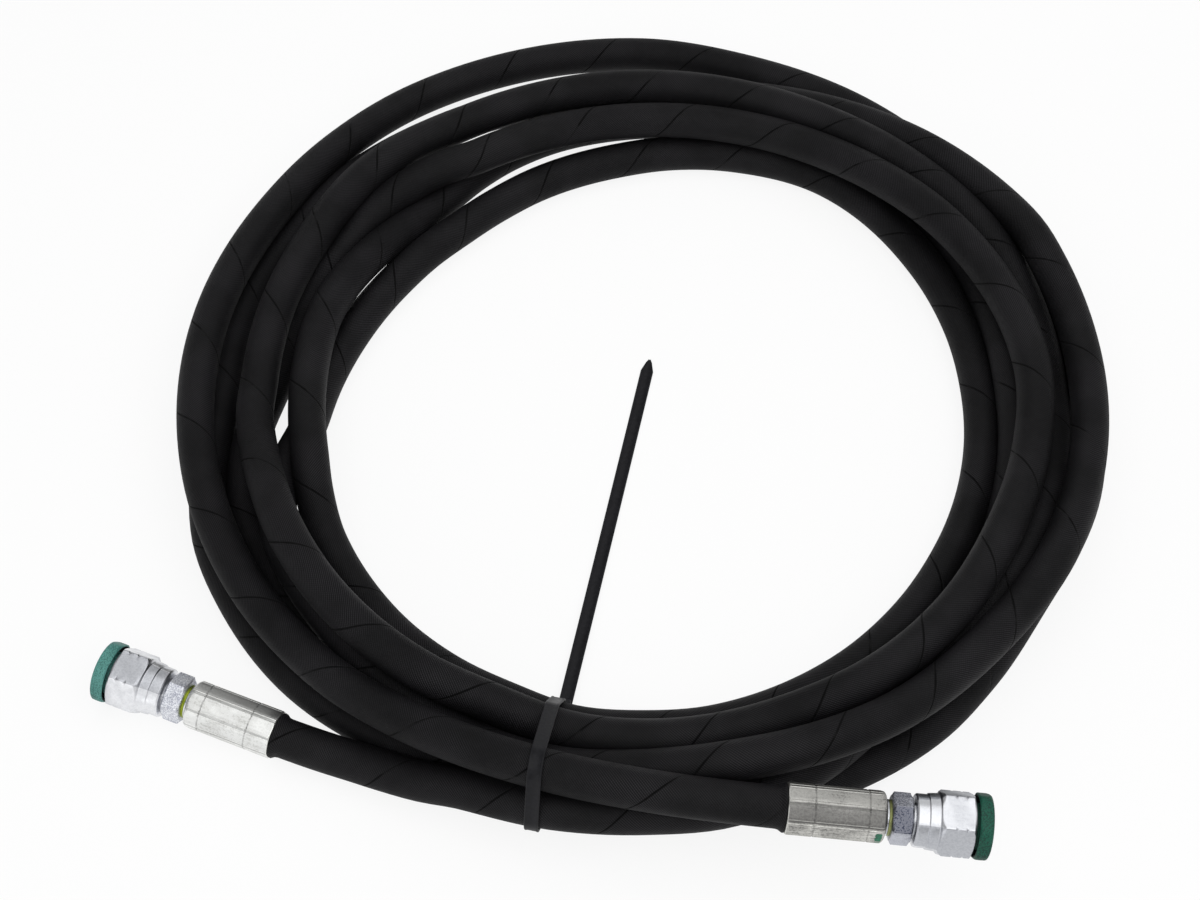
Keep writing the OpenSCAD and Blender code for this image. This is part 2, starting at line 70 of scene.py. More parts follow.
# One list per turn: [angle in degrees, radius, height of the hose centre].
TURNS = [
    [
        [210, 343.5, 20], [229, 304.5, 13.5], [236, 293, 13.5], [240, 289.5, 16.5],
        [245, 286.5, 20.5], [250, 284, 26], [260, 286, 33], [270, 285, 34], [280, 284, 35],
        [290, 272, 34.5], [300, 258, 31], [315, 251, 30.5], [330, 250.5, 32], [345, 252, 22.5],
        [352, 251.5, 17], [360, 250.5, 14.5], [370, 251.5, 17], [378, 252, 21], [384, 250, 28],
        [390, 246.5, 33.5], [405, 240.5, 37.5], [420, 238.5, 36.5], [450, 238, 34.5],
        [480, 234, 35], [487, 234.5, 37], [493, 234.5, 38.5], [499, 234.5, 38], [505, 233, 37],
        [512, 231, 35.5], [525, 229.5, 34.5], [540, 229, 34.5], [547, 231, 37], [555, 231, 42],
        [562, 232, 50],
    ],
    [
        [210, 235, 56], [225, 240, 57], [240, 243, 55], [250, 240, 45], [260, 240, 34],
        [270, 242, 35], [280, 243, 38], [290, 245, 46], [300, 246, 51], [315, 242, 51],
        [330, 236.5, 50.5], [345, 235, 48], [360, 234, 48], [390, 221, 47], [405, 217.5, 41],
        [420, 216, 35], [450, 208, 34.5], [480, 204.5, 34.5], [487, 209, 34], [493, 213.5, 30.5],
        [499, 218, 25], [505, 219.5, 19.5], [510, 220, 16.5], [525, 221.5, 12.5],
        [537, 224.5, 11.25], [547, 236, 11.25], [555, 243.5, 11.25], [562, 247.5, 11.25],
    ],
    [
        [210, 247, 11.25], [225, 245, 11.25], [240, 242, 12], [250, 244, 13.4], [260, 249, 13.6],
        [270, 250, 12.8], [280, 248.5, 11.5], [300, 243.5, 11.25], [315, 238.5, 11.25],
        [330, 234, 14.5], [345, 229.5, 22], [360, 226, 25.5], [370, 227, 24], [378, 229.5, 20.5],
        [384, 232, 16.5], [390, 233.5, 15.5], [405, 237, 12], [420, 239, 11.25],
        [435, 233.5, 11.25], [450, 227.5, 11.25], [463, 222.5, 11.25], [472, 217, 11.25],
        [480, 210.5, 11.25], [487, 204, 12], [493, 200.5, 13.5], [499, 198.5, 17],
        [505, 197.5, 22], [510, 197, 26.5], [525, 199, 33.5], [540, 199.5, 34.5], [555, 202.5, 33],
        [562, 206.5, 27],
    ],
    [
        [210, 211, 20], [225, 215, 12], [240, 219, 12], [250, 221.5, 13.4], [260, 226, 13.6],
        [270, 225.5, 12.8], [280, 225, 11.5], [300, 220.5, 11.25], [315, 216, 11.25],
        [330, 212, 11.25], [360, 208.5, 11.25], [375, 209.5, 11.25], [390, 212, 11.25],
        [415, 216.5, 11.25], [432, 208.5, 11.25], [443, 201.5, 11.25], [455, 193, 11.25],
        [472, 184, 11.25], [480, 180, 11.25], [490, 177, 11.25], [499, 177.5, 11.25],
        [510, 179.5, 11.25], [525, 186, 11.25], [540, 196.5, 11.25], [547, 203.5, 12.5],
        [555, 218.5, 18], [562, 229, 26],
    ],
    [
        [210, 236.5, 33], [225, 243, 34], [240, 252.5, 34.5], [245, 257, 34.5], [250, 260.5, 34.8],
        [260, 263.5, 37], [270, 264, 43], [280, 268, 54], [290, 271, 57.5], [300, 270, 52],
        [315, 267, 47], [330, 268.5, 47], [345, 268, 42], [360, 268, 39], [370, 268, 39],
        [378, 268.5, 39.5], [384, 269, 40], [390, 267.5, 38], [405, 262.5, 33], [420, 259, 24],
        [435, 257, 14], [450, 254, 11.25], [480, 255, 11.25], [495, 257, 11.25],
        [510, 256.5, 11.25], [525, 256.5, 11.25], [540, 254.5, 11.25], [547, 259, 11.25],
        [555, 266, 11.25], [562, 271, 11.25],
    ],
    [
        [210, 272.5, 11.25], [225, 273.5, 11.25], [240, 268.5, 12], [250, 266, 13.4],
        [260, 272, 13.6], [270, 273, 12.8], [280, 274, 11.5], [296, 274, 11.25],
        [306, 272.5, 11.25], [315, 268, 11.25], [328, 264, 11.25], [345, 271, 11.25],
        [360, 272, 11.25], [378, 273.5, 11.25], [390, 273, 11.25], [405, 275, 11.25],
        [420, 280, 12], [435, 284.5, 11.25], [450, 290, 11.25], [480, 287, 13], [495, 278, 20],
        [510, 268.5, 30], [532, 266.5, 34.5], [570, 267, 34.5],
    ],
    [
        [225, 267.5, 38], [232, 269, 43], [240, 270, 48.5], [250, 273, 56], [260, 276, 57],
        [270, 283, 58.5], [280, 293.5, 55.5], [290, 311, 52], [300, 333, 48.5],
    ],
]

ROWS = [(a + 360 * k, r, z) for k, turn in enumerate(TURNS) for a, r, z in turn]


def ease(a, c):
    """Column c of the route at angle a, on a smooth curve through the rows."""
    i = 1
    while i < len(ROWS) - 3 and ROWS[i + 1][0] <= a:
        i += 1
    p, q, r, s = ROWS[i - 1], ROWS[i], ROWS[i + 1], ROWS[i + 2]
    h = r[0] - q[0]
    t = (a - q[0]) / h
    m0 = (r[c] - p[c]) / (r[0] - p[0]) * h
    m1 = (s[c] - q[c]) / (s[0] - q[0]) * h
    return (
        (2 * t**3 - 3 * t**2 + 1) * q[c]
        + (t**3 - 2 * t**2 + t) * m0
        + (3 * t**2 - 2 * t**3) * r[c]
        + (t**3 - t**2) * m1
    )


def high_at(a):
    """Height of the hose's centre at angle a, never so low that it sinks into the floor."""
    return max(HOSE_OD / 2, ease(a, 2))


def at(a):
    """The hose's centre at angle a."""
    r = ease(a, 1)
    t = math.radians(a)
    return Vector((COIL[0] + r * math.cos(t), COIL[1] + r * math.sin(t), high_at(a)))


def along(a):
    """The way that the hose runs at angle a."""
    return (at(a + 0.5) - at(a - 0.5)).normalized()


def seat(p, axis):
    """A fitting's frame: +Z runs from the ferrule's mouth at the hose out to the plug, and +X
    looks up. It turns mm into metres."""
    up = (Vector((0, 0, 1)) - axis[2] * axis).normalized()
    side = axis.cross(up)
    m = Matrix((up, side, axis)).transposed().to_4x4()
    m.translation = p * MM
    return m @ Matrix.Scale(MM, 4)


LEFT = seat(at(START), -along(START))
RIGHT = seat(at(END), along(END))


# ---------------------------------------------------------------- node helpers
class Tree:
    """A small helper that builds one material's nodes."""

    def __init__(self, name):
        self.mat = bpy.data.materials.new(name)
        self.mat.use_nodes = True
        self.t = self.mat.node_tree
        self.t.nodes.clear()
        self.out = self.t.nodes.new("ShaderNodeOutputMaterial")

    def put(self, socket, value):
        if isinstance(value, bpy.types.NodeSocket):
            self.t.links.new(value, socket)
        elif value is not None:
            socket.default_value = value

    def math(self, op, a, b=None, c=None, clamp=False):
        n = self.t.nodes.new("ShaderNodeMath")
        n.operation = op
        n.use_clamp = clamp
        for s, v in zip(n.inputs, (a, b, c)):
            self.put(s, v)
        return n.outputs[0]

    def add(self, a, b, clamp=False):
        return self.math("ADD", a, b, clamp=clamp)

    def sub(self, a, b):
        return self.math("SUBTRACT", a, b)

    def mul(self, a, b):
        return self.math("MULTIPLY", a, b)

    def most(self, a, b):
        return self.math("MAXIMUM", a, b)

    def away(self, a, b):
        """How far a is from b."""
        return self.math("ABSOLUTE", self.sub(a, b))

    def noise(self, vector, scale, detail=3, rough=0.55):
        n = self.t.nodes.new("ShaderNodeTexNoise")
        self.put(n.inputs["Vector"], vector)
        n.inputs["Scale"].default_value = scale
        n.inputs["Detail"].default_value = detail
        n.inputs["Roughness"].default_value = rough
        return n.outputs["Fac"]

    def xyz(self, x, y, z=0.0):
        n = self.t.nodes.new("ShaderNodeCombineXYZ")
        for s, v in zip(n.inputs, (x, y, z)):
            self.put(s, v)
        return n.outputs[0]

    def uv(self):
        n = self.t.nodes.new("ShaderNodeUVMap")
        n.uv_map = "UVMap"
        s = self.t.nodes.new("ShaderNodeSeparateXYZ")
        self.t.links.new(n.outputs[0], s.inputs[0])
        return s.outputs[0], s.outputs[1]

    def place(self):
        return self.t.nodes.new("ShaderNodeTexCoord").outputs["Object"]

    def ramp(self, value, low, high, a=0.0, b=1.0):
        """Runs smoothly from a to b while value runs from low to high."""
        n = self.t.nodes.new("ShaderNodeMapRange")
        n.interpolation_type = "SMOOTHSTEP"
        for s, v in zip(n.inputs, (value, low, high, a, b)):
            self.put(s, v)
        return n.outputs[0]

    def mix(self, f, a, b):
        n = self.t.nodes.new("ShaderNodeMix")
        n.data_type = "RGBA"
        # 0 is the factor, 6 and 7 are the two colours, and output 2 is the mixed colour
        for index, value in ((0, f), (6, a), (7, b)):
            self.put(n.inputs[index], value)
        return n.outputs[2]

    def bump(self, height, distance, strength):
        n = self.t.nodes.new("ShaderNodeBump")
        n.inputs["Strength"].default_value = strength
        n.inputs["Distance"].default_value = distance
        self.put(n.inputs["Height"], height)
        return n.outputs[0]

    def done(self, colour, rough, normal, metallic=0.0, specular=None):
        b = self.t.nodes.new("ShaderNodeBsdfPrincipled")
        self.put(b.inputs["Base Color"], colour)
        self.put(b.inputs["Roughness"], rough)
        self.put(b.inputs["Metallic"], metallic)
        self.put(b.inputs["Specular IOR Level"], specular)
        self.put(b.inputs["Normal"], normal)
        self.t.links.new(b.outputs[0], self.out.inputs[0])
        return self.mat


def rgb(r, g, b):
    """A colour as it is on screen, 0 to 255, turned into the linear one that nodes take."""
    def lin(c):
        c /= 255
        return c / 12.92 if c <= 0.04045 else ((c + 0.055) / 1.055) ** 2.4

    return (lin(r), lin(g), lin(b), 1)


# ---------------------------------------------------------------- materials
THREADS_ROUND = 44.0  # threads of the curing cloth once round the hose
THREADS_PER_MM = 0.62
WRAP_PITCH = 66.0  # the cloth's edge comes round once in this length
U_UNIT = 50.0  # millimetres to one unit of u, on every piece but the hose
DIE_RINGS = (0.311, 0.875)  # u of the two rings where the crimping dies ended
DIE_RIDGE = 0.182  # the ridges' place between a corner, 0, and the middle of a flat, 0.5
FINE_BUMP = 0.0002  # metres


def hose_material():
    """Black rubber with the print of the curing cloth: a fine diagonal weave, its crests painted
    lighter as a painted sheen, and the helical edge of each wrap."""
    t = Tree("hose_rubber")
    u, v = t.uv()  # u in metres along the hose, v once round
    run = t.mul(u, 1000.0)
    threads, slant = t.mul(v, THREADS_ROUND), t.mul(run, THREADS_PER_MM)
    one = t.math("SINE", t.mul(t.add(threads, slant), TAU))
    two = t.math("SINE", t.mul(t.sub(threads, slant), TAU))
    weave = t.add(t.mul(one, 0.75), t.mul(two, 0.25))
    # lap runs from 0 to 1 across a wrap, and the seam is the groove at its worn edge
    wobble = t.noise(t.xyz(t.mul(u, 9.0), 0.0), 1.0, 2)
    lap = t.add(t.mul(run, 1 / WRAP_PITCH), t.mul(wobble, 0.16))
    lap = t.math("FRACT", t.sub(lap, v))
    gap = t.sub(0.5, t.away(lap, 0.5))
    wear_and_painted_shade = t.ramp(t.noise(t.xyz(t.mul(u, 30.0), t.mul(v, 3.0)), 1.0, 3), 0.25, 0.5)
    seam = t.mul(t.ramp(gap, 0.016, 0.006), wear_and_painted_shade)
    where = t.place()
    cloud = t.noise(where, 14.0, 4)
    fine = t.noise(where, 260.0, 3)
    tone = t.add(t.mul(cloud, 0.7), t.mul(fine, 0.3))
    colour = t.mix(t.ramp(tone, 0.35, 0.65), rgb(4, 4, 5), rgb(9, 9, 10))
    # painted sheen: the weave's crests are coloured lighter, more where the noise below says so
    painted_sheen_amount = t.ramp(t.noise(where, 22.0, 2), 0.35, 0.65, 0.16, 0.55)
    colour = t.mix(t.mul(t.ramp(weave, -0.2, 0.8), painted_sheen_amount), colour, rgb(52, 50, 54))
    colour = t.mix(t.mul(seam, 0.9), colour, rgb(2, 2, 2))
    height = t.add(t.mul(weave, 0.09), t.mul(t.add(lap, t.mul(seam, -2.2)), 0.16))
    height = t.add(height, t.mul(fine, 0.10))
    rough = t.most(t.ramp(tone, 0.3, 0.7, 0.68, 0.58), t.mul(seam, 0.95))
    return t.done(colour, rough, t.bump(height, 0.001, 0.9), specular=0.14)


def metal(name, base, dark, rough, grain, streak, speck, cells=900.0, lands=0.0, tones=(),
          pit_edge=0.17, die=False):
    """Plated steel. streak and speck say how much drag marks and pits darken it, cells how fine the
    pits are, grain how deep and pit_edge how soft. Each land, the face between two corners, may be
    darkened on its own, a painted shade for how light falls on and is reflected by that face."""
    t = Tree(name)
    # u runs along the axis and a little outward. v counts the points of a ring once round, so
    # that lands * v + 0.5 is a whole number at every corner.
    u, v = t.uv()
    where = t.place()
    cloud = t.noise(where, 60.0, 4)
    drag = t.noise(t.xyz(t.mul(u, 3.0), t.mul(v, 90.0)), 1.0, 4, 0.65)
    pits = t.noise(where, cells, 3, 0.7)
    shade = t.add(t.mul(t.ramp(cloud, 0.4, 0.62), 0.35), t.mul(t.ramp(drag, 0.42, 0.66), streak))
    shade = t.add(shade, t.mul(t.ramp(pits, 0.45, 0.45 + pit_edge), speck), clamp=True)
    # painted shade: each land in tones is darkened, patchy with the pits, to stand in for the light
    # that face catches and reflects
    for index, tone, low in tones:
        land = t.math("FLOOR", t.add(t.mul(v, lands), 0.5))
        here = t.math("COMPARE", t.math("MODULO", land, lands), float(index), 0.1)
        wear_and_painted_shade = t.ramp(pits, 0.40, 0.40 + pit_edge, tone, low)
        shade = t.most(shade, t.mul(here, wear_and_painted_shade))
    colour = t.mix(shade, base, dark)
    if die:
        # dark lines where the crimping dies ended and met, and painted highlights on their ridges
        corner = t.away(t.math("FRACT", t.mul(v, lands)), 0.5)
        line = t.ramp(corner, 0.10, 0.03, 0.0, 0.40)
        for ring in DIE_RINGS:
            line = t.most(line, t.ramp(t.away(u, ring), 0.014, 0.004, 0.0, 0.40))
        line = t.mul(line, t.ramp(drag, 0.38, 0.58, 0.35, 1.0))
        colour = t.mix(line, colour, rgb(58, 58, 58))
        # the second ramp is a painted highlight on the ferrule's rim at the hose
        painted_glint = t.most(t.ramp(t.away(corner, DIE_RIDGE), 0.04, 0.015), t.ramp(u, 0.041, 0.036))
        colour = t.mix(t.mul(painted_glint, 0.4), colour, rgb(246, 246, 240))
    height = t.add(t.mul(pits, grain), t.mul(drag, streak * 0.3))
    return t.done(colour, t.ramp(cloud, 0.35, 0.65, rough, rough + 0.12),
                  t.bump(height, FINE_BUMP, 0.8), metallic=1.0)


def plastic(name, light, dark, rough, cells, specular=0.5):
    t = Tree(name)
    where = t.place()
    cloud = t.noise(where, 45.0, 4)
    fine = t.noise(where, cells, 2)
    tone = t.add(t.mul(cloud, 0.35), t.mul(fine, 0.65))
    colour = t.mix(t.ramp(tone, 0.42, 0.58), dark, light)
    return t.done(colour, t.ramp(tone, 0.3, 0.7, rough, rough + 0.12), t.bump(fine, FINE_BUMP, 0.5),
                  specular=specular)


def braid_material():
    t = Tree("braid_wire")
    n = t.t.nodes.new("ShaderNodeTexWave")
    t.put(n.inputs["Vector"], t.place())
    n.inputs["Scale"].default_value = 900
    n.inputs["Distortion"].default_value = 2.0
    wave = n.outputs["Fac"]
    colour = t.mix(wave, rgb(196, 176, 120), rgb(120, 104, 66))
    return t.done(colour, 0.35, t.bump(wave, FINE_BUMP, 0.6), metallic=1.0)


HOSE = hose_material()
# Each tone is (land, tone in the pits, tone between them), from 0, the base, to 1, the dark: a
# painted shade on that land.
FERRULE_LEFT = metal(
    "ferrule_steel", rgb(240, 241, 240), rgb(176, 176, 172), rough=0.36, grain=0.35, streak=0.26,
    speck=0.30, lands=8.0, tones=((0, 0.5, 0.3), (1, 0.7, 0.5), (7, 0.3, 0.15)), die=True)
# painted shade: the same steel as the left ferrule, in darker colours and with darker lands
FERRULE_RIGHT = metal(
    "ferrule_steel_shaded", rgb(216, 215, 210), rgb(112, 111, 109), rough=0.40, grain=0.35,
    streak=0.34, speck=0.34, lands=8.0, tones=((0, 0.52, 0.32), (1, 1.0, 0.9), (7, 0.8, 0.6)),
    die=True)
STEM_LEFT = metal(
    "stem_steel", rgb(240, 242, 246), rgb(166, 169, 182), rough=0.44, grain=1.2, streak=0.1,
    speck=0.7, cells=1300.0, pit_edge=0.10)
# painted shade: the same steel as the left stem in darker colours, with lands 1 and 2 darkened
# further, patchy with the pits
STEM_RIGHT = metal(
    "stem_steel_shaded", rgb(228, 230, 238), rgb(50, 54, 72), rough=0.42, grain=1.2, streak=0.1,
    speck=0.36, cells=1100.0, lands=6.0, tones=((1, 1.0, 0.80), (2, 0.5, 0.3)), pit_edge=0.06)
NECK_LEFT = metal(
    "neck_passivated", rgb(140, 152, 52), rgb(84, 98, 22), rough=0.36, grain=0.3, streak=0.1,
    speck=0.2)
# painted reflection: the same passivated steel as the left neck, paled toward silver
NECK_RIGHT = metal(
    "neck_painted_reflection", rgb(140, 144, 98), rgb(88, 92, 52), rough=0.36, grain=0.3, streak=0.1, speck=0.2)
# painted shade: land 0 of the left nut is darkened; the right nut is the same steel in darker
# colours, with lands 0, 1 and 5 darkened
NUT_LEFT = metal(
    "nut_steel", rgb(236, 237, 240), rgb(164, 166, 171), rough=0.30, grain=0.35, streak=0.10,
    speck=0.12, lands=6.0, tones=((0, 0.95, 0.8),))
NUT_RIGHT = metal(
    "nut_steel_shaded", rgb(226, 227, 230), rgb(158, 161, 168), rough=0.30, grain=0.35, streak=0.10,
    speck=0.12, lands=6.0, tones=((0, 0.35, 0.25), (1, 0.75, 0.6), (5, 1.0, 0.9)))
PLUG_LEFT = plastic("plug_plastic", rgb(86, 146, 138), rgb(44, 98, 92), 0.50, 1500.0, 0.4)
# painted shade: the same plastic as the left plug, in a darker green
PLUG_RIGHT = plastic("plug_plastic_shaded", rgb(16, 84, 66), rgb(4, 46, 37), 0.50, 1500.0, 0.3)
# painted shade for the plug's groove and the back of its flange
PLUG_SHADE = plastic("plug_recess_painted_shade", rgb(18, 30, 29), rgb(8, 16, 16), 0.7, 900.0, 0.2)
TIE = plastic("tie_nylon", rgb(20, 20, 24), rgb(12, 12, 16), 0.40, 500.0, 0.18)
SEAL = plastic("seal_rubber", rgb(26, 26, 27), rgb(18, 18, 19), 0.5, 600.0)
PAINT = plastic("paint_mark", rgb(20, 112, 80), rgb(12, 84, 60), 0.45, 800.0)
BRAID = braid_material()


# ---------------------------------------------------------------- mesh helpers
def link(name, verts, faces, uvs, mat, sharp=38.0):
    """A smooth object of one material, with an edge where faces turn by more than sharp."""
    mesh = bpy.data.meshes.new(name)
    mesh.from_pydata(verts, [], faces)
    layer = mesh.uv_layers.new(name="UVMap")
    for item, c in zip(layer.data, [c for face in uvs for c in face]):
        item.uv = c
    mesh.polygons.foreach_set("use_smooth", [True] * len(mesh.polygons))
    mesh.validate()
    obj = put_in_scene(name, mesh)
    mesh.set_sharp_from_angle(angle=math.radians(sharp))
    mesh.materials.append(mat)
    return obj


def face_outward(mesh):
    bm = bmesh.new()
    bm.from_mesh(mesh)
    bmesh.ops.recalc_face_normals(bm, faces=bm.faces)
    bm.to_mesh(mesh)
    bm.free()


def bands(us, n, joined=False):
    """Faces and uvs between rings of n points. us holds each ring's u, and one more where the
    last ring is joined to the first."""
    faces, uvs = [], []
    rings = len(us) - 1 if joined else len(us)
    for i in range(len(us) - 1):
        k = (i + 1) % rings
        for j in range(n):
            j2 = (j + 1) % n
            v0, v1 = j / n, (j + 1) / n
            faces.append((i * n + j, i * n + j2, k * n + j2, k * n + j))
            uvs.append(((us[i], v0), (us[i], v1), (us[i + 1], v1), (us[i + 1], v0)))
    return faces, uvs


def rounded(points, radius, steps=3):
    """Rounds every corner of a line of (z, r) points, apart from its two ends."""
    out = [points[0]]
    for i in range(1, len(points) - 1):
        p = Vector(points[i])
        a, b = Vector(points[i - 1]) - p, Vector(points[i + 1]) - p
        cut = min(radius, a.length * 0.4, b.length * 0.4)
        if cut < 1e-4 or a.angle(-b) < 0.05:
            out.append(points[i])
            continue
        q, r = p + a.normalized() * cut, p + b.normalized() * cut
        for k in range(steps + 1):
            t = k / steps
            out.append(tuple((1 - t) ** 2 * q + 2 * t * (1 - t) * p + t * t * r))
    out.append(points[-1])
    return out


def smin(a, b, k):
    """The smaller of a and b, blended where they differ by less than k."""
    h = max(k - abs(a - b), 0) / k
    return min(a, b) - h * h * k / 4


def from_corner(a, sides):
    """Degrees past the nearest corner of a hexagon or octagon, or before it if below 0."""
    return (a + 180.0 / sides) % (360.0 / sides) - 180.0 / sides


def wall_at(a, sides, flats):
    """Radius at angle a of a hexagon or octagon with a corner at angle 0."""
    return flats / 2 / math.cos(math.radians(180.0 / sides - abs(from_corner(a, sides))))


def ring_angles(sides):
    """Angles of a ring's points, closer together near the corners."""
    if not sides:
        return [3.0 * k for k in range(120)]
    half = 180.0 / sides
    base = [-half, -half * 0.66, -half * 0.4, -6, -4, -2.6, -1.5, -0.7, 0, 0.7, 1.5, 2.6, 4, 6,
            half * 0.4, half * 0.66]
    return [360.0 * k / sides + o for k in range(sides) for o in base]


def turned(name, frame_m, profile, mat, roll=0.0, sides=0, flats=0.0, soft=0.4, angles=None,
           bump=None, corner=0.25, closed=True):
    """A turned piece, cut to a hexagon or octagon where sides is given. soft blends flats into
    rounds, corner rounds the profile's corners, and bump(angle, z, r) adds to the radius."""
    prof = rounded(profile + [profile[0]], corner)[:-1] if closed else rounded(profile, corner)
    angles = angles or ring_angles(sides)
    verts = []
    for z, r in prof:
        for a in angles:
            q = smin(r, wall_at(a, sides, flats), soft) if sides else r
            if bump is not None:
                q += bump(a % 360, z, r)
            t = math.radians(a + roll)
            verts.append(frame_m @ Vector((q * math.cos(t), q * math.sin(t), z)))
    us = [z / U_UNIT + r / (10 * U_UNIT) for z, r in prof]
    faces, uvs = bands(us + us[:1] if closed else us, len(angles), closed)
    return link(name, verts, faces, uvs, mat)


# ---------------------------------------------------------------- the hose
HOSE_SIDES = 28
RING_STEP = 1.5  # degrees round the coil
HOSE_ENTRY = 2.0  # how far the hose goes on, straight, inside each ferrule
SWELL, SWELL_AT, SWELL_WIDTH = 1.75, 0.9, 1.9  # how the rubber bulges at a ferrule's mouth
MOUTH_STEPS = (0.06, 0.14, 0.25, 0.4, 0.6, 0.9)  # degrees from each end to the closer rings there


def hose_piece():
    axis_a, axis_b = -along(START), along(END)
    count = round((END - START) / RING_STEP)
    path = [at(START) + axis_a * d for d in (HOSE_ENTRY, HOSE_ENTRY / 2)]
    path.append(at(START))
    path += [at(START + o) for o in MOUTH_STEPS]
    path += [at(START + (END - START) * i / count) for i in range(1, count)]
    path += [at(END - o) for o in reversed(MOUTH_STEPS)]
    path.append(at(END))
    path += [at(END) + axis_b * d for d in (HOSE_ENTRY / 2, HOSE_ENTRY)]
    total = [0.0]
    for p, q in zip(path, path[1:]):
        total.append(total[-1] + (q - p).length)
    verts = []
    last = len(path) - 1
    for i, p in enumerate(path):
        t = (path[min(i + 1, last)] - path[max(i - 1, 0)]).normalized()
        n = t.cross(Vector((0, 0, 1))).normalized()
        b = n.cross(t)
        gap = min(total[i], total[-1] - total[i]) - HOSE_ENTRY
        swell = SWELL * math.exp(-((gap - SWELL_AT) / SWELL_WIDTH) ** 2) if gap > 0.05 else 0.0
        r = HOSE_OD / 2 + swell
        for j in range(HOSE_SIDES):
            w = TAU * j / HOSE_SIDES
            verts.append((p + r * (math.cos(w) * n + math.sin(w) * b)) * MM)
    us = [d * MM for d in total]
    faces, uvs = bands(us, HOSE_SIDES)
    for i, order in ((0, range(HOSE_SIDES - 1, -1, -1)), (last, range(HOSE_SIDES))):
        faces.append(tuple(i * HOSE_SIDES + j for j in order))
        uvs.append(tuple((us[i], j / HOSE_SIDES) for j in order))
    # the rings run the other way round from a turned piece's, so every face is turned over
    obj = link("hose_drawn", verts, [f[::-1] for f in faces], [f[::-1] for f in uvs], HOSE, 50.0)
    return obj, [p * MM for p in path], us[-1]


hose, hose_path, hose_length = hose_piece()
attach(hose, "hose_and_ends")
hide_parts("hose")

# ---------------------------------------------------------------- the fittings
# Every profile is a list of (z, r), with z from the ferrule's mouth at the hose.
CRIMPS, CRIMP_FLATS, CRIMP_RADIUS = 8, 26.5, 13.65
JAW_MARK = 4.6  # degrees from a corner to each of its two ridges
RIDGE_START, RIDGE_END = 0.6, 49.8  # z, inside the ferrule's two rounded rims
RIDGE_HEIGHT, RIDGE_WIDTH = 0.24, 0.7
STEM_FLATS, NUT_FLATS, PLUG_FLATS = 24.0, 32.0, 33.4
NUT_START = 66.8
NOTCHES = (86.8, 92.2)  # z of the file marks on the nut's corners
NOTCH_DEPTH, NOTCH_WIDTH = 0.62, 0.42
NOTCH_REACH = 5.0  # degrees from a corner to where a mark runs out
FLANGE_START = 98.8
GROOVE, GROOVE_FLOOR = (12.3, 15.8), 4.2  # radii of the groove in the flange's back, and its depth
FERRULE_PROFILE = [
    (2.0, 11.3), (0.5, 11.3), (0.0, 11.8), (0.0, 13.1), (0.5, 13.65), (6.0, 13.65), (13.7, 13.65),
    (14.2, 13.25), (14.7, 13.60), (24.0, 13.60), (34.0, 13.60), (41.9, 13.60), (42.4, 13.25),
    (42.9, 13.65), (49.0, 13.65), (50.0, 13.45), (50.8, 12.9), (51.4, 11.9), (51.4, 9.7),
    (51.1, 9.0), (47.9, 8.3), (47.9, 9.5), (30.0, 11.3),
]


def crimp(a, z, r):
    """Thin paired ridges where two crimping jaws met, on the ferrule's round lands."""
    if r < 13.0 or z < RIDGE_START or z > RIDGE_END:
        return 0.0
    off = from_corner(a, CRIMPS)
    return sum(RIDGE_HEIGHT * math.exp(-(((off - c) / RIDGE_WIDTH) ** 2))
               for c in (-JAW_MARK, JAW_MARK))


def crimp_angles():
    base = [-22.5, -18, -13, -9, -7, -6, -5.2, -4.6, -4.0, -3.2, -1.8, 0, 1.8, 3.2, 4.0, 4.6, 5.2,
            6, 7, 9, 13, 18]
    return [360.0 / CRIMPS * k + o for k in range(CRIMPS) for o in base]


def ferrule(side, m, roll, mat):
    return turned(side + "_ferrule_drawn", m, FERRULE_PROFILE, mat, roll, CRIMPS, CRIMP_FLATS,
                  soft=0.2, angles=crimp_angles(), bump=crimp, corner=0.3)


def stem(side, m, roll, mat, neck_mat, plated):
    hexa = turned(side + "_stem_hexagon", m, [
        (54.5, 9.2), (54.5, 11.55), (55.7, 13.8), (59.8, 13.85), (64.3, 13.8), (65.5, 11.55),
        (65.5, 9.2)], mat, roll, 6, STEM_FLATS, soft=0.25, corner=0.15)
    neck = turned(side + "_stem_neck", m, [
        (52.6, 8.3), (52.8, 9.2), (53.3, 9.45), (54.0, 9.5), (54.7, 9.5), (54.7, 8.3)],
        neck_mat, corner=0.3)
    front = turned(side + "_stem_front", m, [
        (65.3, 5.0), (65.3, 9.0), (69.8, 9.0), (69.8, 10.5), (75.3, 10.5), (75.3, 9.0), (79.4, 9.0),
        (79.4, 9.5), (80.4, 9.5), (82.4, 9.07), (82.4, 7.4), (84.8, 7.4), (84.8, 8.56),
        (90.4, 7.4), (90.4, 4.75), (88.0, 4.75)], plated, corner=0.2)
    tail = turned(side + "_stem_tail", m, [
        (4.0, 4.75), (4.0, 5.4), (5.5, 6.3), (8.0, 6.3), (8.0, 5.85), (9.5, 5.85), (12.0, 6.3),
        (47.3, 6.3), (47.3, 8.2), (50.5, 8.2), (51.4, 9.1), (52.2, 9.6), (52.9, 9.5), (53.0, 8.2),
        (65.6, 8.2), (65.6, 4.75)], plated, corner=0.15)
    return [hexa, neck, front, tail]


def nut_notch(a, z, r):
    """Two small file marks across each corner of the nut."""
    off = abs(from_corner(a, 6))
    if r < 17.0 or off > NOTCH_REACH:
        return 0.0
    depth = sum(math.exp(-(((z - c) / NOTCH_WIDTH) ** 4)) for c in NOTCHES)
    return -NOTCH_DEPTH * depth * (1 - off / NOTCH_REACH)


